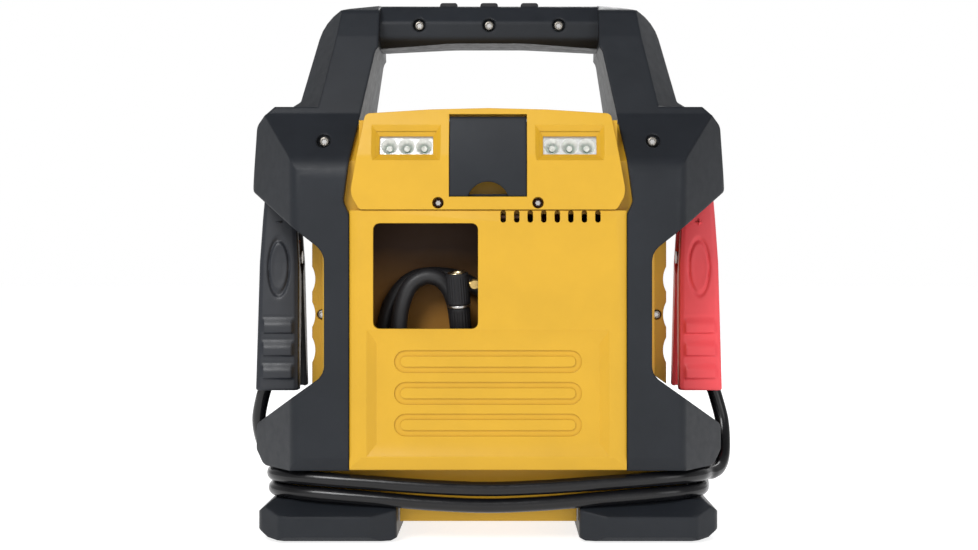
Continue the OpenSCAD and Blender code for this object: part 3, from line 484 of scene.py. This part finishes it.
def lathe(name, rings, sides, turn, base, radius_at=None, caps=(True, True)):
    """Rings of (radius, height) turned round an axis; radius_at(radius, height, angle) can shape them."""
    verts, faces = [], []
    for r, h in rings:
        for k in range(sides):
            a = 2 * math.pi * k / sides
            rr = radius_at(r, h, a) if radius_at else r
            verts.append((base + turn @ Vector((rr * math.cos(a), rr * math.sin(a), h))) * MM)
    for i in range(len(rings) - 1):
        for k in range(sides):
            j = (k + 1) % sides
            faces.append((i * sides + k, i * sides + j, (i + 1) * sides + j, (i + 1) * sides + k))
    if caps[0]:
        faces.append(tuple(range(sides))[::-1])
    if caps[1]:
        n = (len(rings) - 1) * sides
        faces.append(tuple(range(n, n + sides)))
    return mesh_of(name, verts, faces)


def knurl(r, h, a):
    if 5 < h < 31:
        return r - 0.55 * (0.5 + 0.5 * math.cos(20 * a)) * ease((h - 5) / 1.5) * ease((31 - h) / 1.5)
    if 36.5 < h < 55:
        return r - 0.5 * (0.5 + 0.5 * math.cos(26 * a)) * ease((h - 36.5) / 1.2) * ease((55 - h) / 1.2)
    return r


grip_rings = [(5.9, 0), (7.0, 0), (7.2, 0.6), (7.2, 3), (6.6, 3.6), (6.6, 4.6), (7.2, 5.2)]
grip_rings += [(7.2, 5.2 + 1.3 * k) for k in range(1, 20)] + [(7.2, 31.2), (6.8, 32.2), (6.8, 33)]
sleeve_rings = [(7.0, 34.6), (7.9, 35.2), (7.9, 36.4)] + [(7.9, 36.4 + 1.2 * k) for k in range(1, 16)]
sleeve_rings += [(7.9, 55.2), (7.6, 56.2), (6.6, 56.6)]
collar_rings = [(6.5, 32.9), (7.6, 32.9), (7.75, 33.2), (7.75, 34.2), (7.6, 34.6), (6.5, 34.6)]
mouth_rings = [(6.7, 56.4), (6.5, 57.0), (5.9, 57.2), (5.2, 57.0), (4.6, 56.0), (4.15, 54.5)]
mouth_rings += [(4.1, 44), (0.2, 43.5)]
parts = [
    add("chuck_grip", lathe("chuck_grip", grip_rings, 120, CHUCK_TURN, CHUCK_BASE, knurl),
        BLACK_IN, slot="hose_rubber"),
    add("chuck_sleeve",
        lathe("chuck_sleeve", sleeve_rings, 156, CHUCK_TURN, CHUCK_BASE, knurl, (True, False)),
        BLACK_IN, slot="hose_rubber"),
    add("chuck_collar", lathe("chuck_collar", collar_rings, 64, CHUCK_TURN, CHUCK_BASE), STEEL, slot="steel"),
    add("chuck_mouth", lathe("chuck_mouth", mouth_rings, 64, CHUCK_TURN, CHUCK_BASE, caps=(False, False)),
        GOLD, slot="brass"),
]
for o in parts:
    for p in o.data.polygons:
        if len(p.vertices) > 4:
            p.use_smooth = False
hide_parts("chuck_body")
lug = bpy.data.meshes.new("chuck_lug")
bm = bmesh.new()
for z0, z1, x0, x1 in ((45.7, 50.3, 6.2, 11.4), (46.6, 49.4, 11.4, 13.6)):
    bmesh.ops.create_cube(bm, size=1, matrix=Matrix.Translation(((x0 + x1) / 2, 0, (z0 + z1) / 2))
                          @ Matrix.Diagonal((x1 - x0, 3.9, z1 - z0, 1)))
bmesh.ops.bevel(bm, geom=list(bm.edges), offset=0.5, segments=2, affect="EDGES")
for v in bm.verts:
    v.co = (CHUCK_BASE + CHUCK_TURN @ v.co) * MM
bm.to_mesh(lug)
bm.free()
add("chuck_lug", lug, BRASS, slot="brass")

tube("air_hose_tube", HOSE_ROUTE, 11.5, HOSE, "air_hose")
tube("black_lead_tube", BLACK_ROUTE, 10, LEAD, "black_lead")
tube("red_lead_tube", RED_ROUTE, 10, LEAD, "red_lead")

# ferrule where the hose meets the chuck
ferrule_rings = [(5.8, -10), (6.3, -9.6), (6.3, -7), (5.95, -6.6), (5.95, -5.6), (6.3, -5.2)]
ferrule_rings += [(6.3, -0.4), (6.0, 0)]
add("hose_ferrule", lathe("hose_ferrule", ferrule_rings, 48, CHUCK_TURN, CHUCK_BASE), BRASS, slot="brass")

# ---------------------------------------------------------------- clamp handles

OUTER = [(98, 31.5), (140, 26.5), (190, 21), (225, 18), (262, 14.5), (281, 10), (286, 5)]
INNER = [(98, 25), (130, 21), (168, 15.6), (184, 12.3), (205, 11.3), (236, 8.3), (262, 4.7), (286, 4.7)]
SKIRT = [(98, 20), (150, 10), (172, 6), (182, 6), (189, 12)]
WIDTH = [(98, 15.5), (190, 14.3), (222, 12.4), (238, 11.2), (286, 7.5)]


def handle_detail(x, z, w):
    """Outward shift of the handle's face: finger steps, a thumb oval and a slight crown."""
    u = abs(x) / w
    d = -0.9 * u * u
    for step in (151.4, 135.1, 118.8):
        t = (z - (step - 13.2)) / 13.2
        if 0 <= t <= 1:
            side = ease((0.78 - u) / 0.1)
            d += side * (1.9 * ease(t / 0.12) * ease((1 - t) / 0.55) - 0.25)
    e = math.hypot(x / 7.3, (z - 186.8) / 19.8)
    d -= 1.3 * math.exp(-((e - 1) / 0.10) ** 2)
    d -= 0.45 * ease((1 - e) / 0.6)
    return d


def handle(name, side, half, material, slot, body):
    """side -1 is the black clamp, half -1 the rear handle."""
    zs = [98, 98.4, 99.4]
    z = 100.5
    while z < 280:
        zs.append(z)
        z += 0.9 if 104 < z < 210 else 1.6
    zs += [280.5, 282, 283.6, 284.8, 285.6, 286]
    rings = []
    for z in zs:
        w, d, i = lerp(WIDTH, z), lerp(OUTER, z), lerp(INNER, z)
        s = min(lerp(SKIRT, z), i - 0.05)
        wi = min(12.8 - (z - 97) * 0.0099, w - 1.6)
        end = min((z - 98) / 1.4, (286 - z) / 5.5, 1)
        shrink = 1 - math.sqrt(max(0, 1 - (1 - end) ** 2))
        top = z > 200
        w -= shrink * (3.2 if top else 1.2)
        d -= shrink * (0.0 if top else 1.2)
        d = max(d, i + 0.4)
        r = min(3.6, d - i, w - 1.0)
        loop = [(-w, s)]
        loop += [(-w, s + (d - r - s) * k / 3) for k in range(1, 4)]
        for k in range(1, 6):
            a = math.pi / 2 * k / 5
            loop.append((-w + r - r * math.cos(a), d - r + r * math.sin(a)))
        flat = w - r
        for k in range(1, 28):
            x = -flat + 2 * flat * k / 28
            loop.append((x, d))
        for k in range(0, 5):
            a = math.pi / 2 * k / 5
            loop.append((w - r + r * math.sin(a), d - r + r * math.cos(a)))
        loop += [(w, s + (d - r - s) * k / 3) for k in range(3, 0, -1)]
        loop += [(w, s), (wi, s), (wi, (s + i) / 2), (wi, i), (0, i), (-wi, i), (-wi, (s + i) / 2), (-wi, s)]
        ring = []
        for x, y in loop:
            if y > d - r * 0.3 and abs(x) <= w:
                y += handle_detail(x, z, w) * (1 - shrink) * ease((y - (d - r)) / max(r, 0.01))
            ring.append((side * 152.5 + x, half * y, z))
        rings.append(ring)
    n = len(rings[0])
    verts = [Vector(p) * MM for ring in rings for p in ring]
    faces = []
    for i in range(len(rings) - 1):
        for k in range(n):
            j = (k + 1) % n
            faces.append((i * n + k, i * n + j, (i + 1) * n + j, (i + 1) * n + k))
    faces.append(tuple(range(n))[::-1])
    faces.append(tuple(range((len(rings) - 1) * n, len(rings) * n)))
    me = mesh_of(name, verts, faces)
    bm = bmesh.new()
    bm.from_mesh(me)
    bmesh.ops.triangulate(bm, faces=[f for f in bm.faces if len(f.verts) > 4])
    for e in bm.edges:
        e.smooth = e.calc_face_angle(0) < math.radians(50)
    bm.to_mesh(me)
    bm.free()
    obj = add(name, me, material, body, slot)
    return obj


for colour, side, material, slot in (("black", -1, BLACK_GRIP, "black_grip"), ("red", 1, RED, "red_plastic")):
    for which, half in (("rear", -1), ("front", 1)):
        body = "pack" if which == "rear" else colour + "_clamp_front"
        o = handle(f"{colour}_{which}_cover", side, half, material, slot, body)
        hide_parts(f"{colour}_{which}_handle")
        # raised plus or minus sign above the thumb oval
        bm = bmesh.new()
        bars = [(4.6, 1.3)] + ([(1.3, 4.6)] if colour == "red" else [])
        for a, b in bars:
            bmesh.ops.create_cube(bm, size=1, matrix=Matrix.Translation((side * 152.5, half * 18.6, 219.5))
                                  @ Matrix.Diagonal((a, 1.6, b, 1)))
        for v in bm.verts:
            v.co *= MM
        bmesh.ops.bevel(bm, geom=list(bm.edges), offset=0.00025, segments=2, affect="EDGES")
        me = bpy.data.meshes.new(f"{colour}_{which}_sign")
        bm.to_mesh(me)
        bm.free()
        add(f"{colour}_{which}_sign", me, material, body, slot)

# ---------------------------------------------------------------- screw heads with driver recesses


def screw_face(name, centre, axis, radius, body="pack", material=SCREW):
    """A domed head with a six-lobed recess, looking out along axis."""
    turn = Vector(axis).to_track_quat("Z", "Y").to_matrix()
    rings = [(radius, -1.4), (radius, -0.3), (radius * 0.93, 0.1), (radius * 0.75, 0.35),
             (radius * 0.56, 0.42), (radius * 0.50, 0.30), (radius * 0.47, -1.2), (0.05, -1.35)]

    def lobes(r, h, a):
        return r * (1 + 0.16 * math.cos(6 * a)) if r < radius * 0.53 and r > 0.1 else r

    add(name, lathe(name, rings, 48, turn, Vector(centre), lobes, (True, False)), material, body, "steel")


for i, x in enumerate((-50.5, 0, 50.5)):
    screw_face(f"handle_screw_{i}", (x, -19.9, 362), (0, -1, 0), 3.45)
for i, s in enumerate((-1, 1)):
    screw_face(f"shoulder_screw_rear_{i}", (s * 113.2, -76.4, 273), (0, -1, 0), 3.45)
    screw_face(f"side_screw_{i}", (s * 122.8, -6.4, 152), (0, -1, 0), 3.25)
    screw_face(f"pod_screw_{i}", (s * 33.8, -95.4, 229.8), (0, -1, 0), 3.25, material=SCREW_PAINTED_SHADE)
    screw_face(f"console_screw_{i}", (s * 60, 95.4, 232), (0, 1, 0), 3.25)

# ---------------------------------------------------------------- lamps and display


def leaning(x, y, z, front=False):
    """A point given on the pod's leaning face: y is depth behind it, z up it from the crease."""
    p = Vector((x, -100, 262)) + Matrix.Rotation(math.radians(-14), 3, "X") @ Vector((0, y, z))
    return Vector((p.x, -p.y if front else p.y, p.z))


LAMP_X = 55.5
LAMP_PITCH = 11.8
LAMP_DEPTH = 12.6
LAMP_Z = 8.5
cup_rings = [(5.5, 4.2), (5.75, 4.4), (5.6, 4.0), (4.9, 2.6), (4.2, 0.8), (3.4, -1.2), (2.4, -2.6)]
led_rings = [(2.1, -2.4), (2.1, -0.6), (1.8, 0.5), (1.1, 1.2), (0.3, 1.45)]
lean_turn = Matrix.Rotation(math.radians(-14), 3, "X") @ Matrix.Rotation(math.radians(90), 3, "X")
k = 0
for s in (-1, 1):
    for j in (-1, 0, 1):
        c = leaning(s * LAMP_X + j * LAMP_PITCH, LAMP_DEPTH, LAMP_Z)
        cup = lathe(f"lamp_cup_{k}", cup_rings, 40, lean_turn, c, caps=(False, True))
        add(f"lamp_cup_{k}", cup, REFLECTOR_PAINTED_GLOW, "pack", "reflector")
        led = lathe(f"lamp_led_{k}", led_rings, 32, lean_turn, c)
        add(f"lamp_led_{k}", led, DOME_PAINTED_GLOW, "pack", "clear_plastic")
        k += 1

# gauge bars and a dark board behind the display window
bm = bmesh.new()
for j in range(5):
    h = 5 + 1.6 * j
    c = leaning(-24 + 8 * j, 4.2, 10 - 7 + h / 2, True)
    m = Matrix.Translation(c) @ Matrix.Rotation(math.radians(14), 4, "X") @ Matrix.Diagonal((5.2, 0.8, h, 1))
    bmesh.ops.create_cube(bm, size=1, matrix=m)
for v in bm.verts:
    v.co *= MM
bmesh.ops.bevel(bm, geom=list(bm.edges), offset=0.0002, segments=1, affect="EDGES")
me = bpy.data.meshes.new("gauge_bars")
bm.to_mesh(me)
bm.free()
add("gauge_bars", me, GLOW, "pack", "clear_plastic")
bm = bmesh.new()
c = leaning(0, 5.6, 10, True)
bmesh.ops.create_cube(bm, size=1, matrix=Matrix.Translation(c) @ Matrix.Rotation(math.radians(14), 4, "X")
                      @ Matrix.Diagonal((83, 1.2, 17.4, 1)))
for v in bm.verts:
    v.co *= MM
bmesh.ops.bevel(bm, geom=list(bm.edges), offset=0.0003, segments=1, affect="EDGES")
me = bpy.data.meshes.new("gauge_board")
bm.to_mesh(me)
bm.free()
add("gauge_board", me, BLACK_IN, "pack", "black_plastic")

# ---------------------------------------------------------------- floor, light

bm = bmesh.new()
bmesh.ops.create_grid(bm, x_segments=2, y_segments=2, size=25)
me = bpy.data.meshes.new("floor")
bm.to_mesh(me)
bm.free()
floor = bpy.data.objects.new("floor", me)
floor.location = (0, 0, -0.0004)
scene.collection.objects.link(floor)
_m = Mat("floor_white")
_m.colour(_m.noise(3, 2), (0.46, 0.46, 0.46), (0.5, 0.5, 0.5))
_m.set(Roughness=0.7, Specular_IOR_Level=0.1, Emission_Strength=0.80)
_m.b.inputs["Emission Color"].default_value = (1, 1, 1, 1)
me.materials.append(_m.m)

world = bpy.data.worlds.new("studio")
scene.world = world
world.use_nodes = True
t = world.node_tree
t.nodes.clear()
out = t.nodes.new("ShaderNodeOutputWorld")
bg = t.nodes.new("ShaderNodeBackground")
coord = t.nodes.new("ShaderNodeTexCoord")
sep = t.nodes.new("ShaderNodeSeparateXYZ")
ramp = t.nodes.new("ShaderNodeValToRGB")
ramp.color_ramp.elements[0].position = 0.60
ramp.color_ramp.elements[0].color = (1, 1, 1, 1)
ramp.color_ramp.elements[1].position = 0.92
ramp.color_ramp.elements[1].color = (0.20, 0.20, 0.21, 1)
rng = t.nodes.new("ShaderNodeMapRange")
rng.inputs["From Min"].default_value = -1
rng.inputs["From Max"].default_value = 1
t.links.new(coord.outputs["Generated"], sep.inputs["Vector"])
t.links.new(sep.outputs["Z"], rng.inputs["Value"])
t.links.new(rng.outputs["Result"], ramp.inputs["Fac"])
side = t.nodes.new("ShaderNodeMath")
side.operation = "ABSOLUTE"
t.links.new(sep.outputs["X"], side.inputs[0])
dim = t.nodes.new("ShaderNodeMapRange")
dim.inputs["From Min"].default_value = 0.45
dim.inputs["From Max"].default_value = 0.85
dim.inputs["To Min"].default_value = 1.0
dim.inputs["To Max"].default_value = 0.42
t.links.new(side.outputs["Value"], dim.inputs["Value"])
shade = t.nodes.new("ShaderNodeVectorMath")
shade.operation = "SCALE"
t.links.new(ramp.outputs["Color"], shade.inputs[0])
t.links.new(dim.outputs["Result"], shade.inputs["Scale"])
t.links.new(shade.outputs["Vector"], bg.inputs["Color"])
t.links.new(bg.outputs["Background"], out.inputs["Surface"])
bg.inputs["Strength"].default_value = 1.0


def softbox(name, at, towards, size, power):
    light = bpy.data.lights.new(name, "AREA")
    light.shape = "SQUARE"
    light.size = size
    light.energy = power
    obj = bpy.data.objects.new(name, light)
    scene.collection.objects.link(obj)
    obj.location = at
    obj.rotation_euler = (Vector(towards) - Vector(at)).to_track_quat("-Z", "Y").to_euler()


softbox("key", (-0.7, -1.7, 1.45), (0, 0, 0.2), 0.8, 25)
softbox("fill", (1.5, -1.7, 0.8), (0, 0, 0.18), 1.0, 5)
softbox("back", (0.6, 1.8, 1.5), (0, 0, 0.2), 1.2, 22)
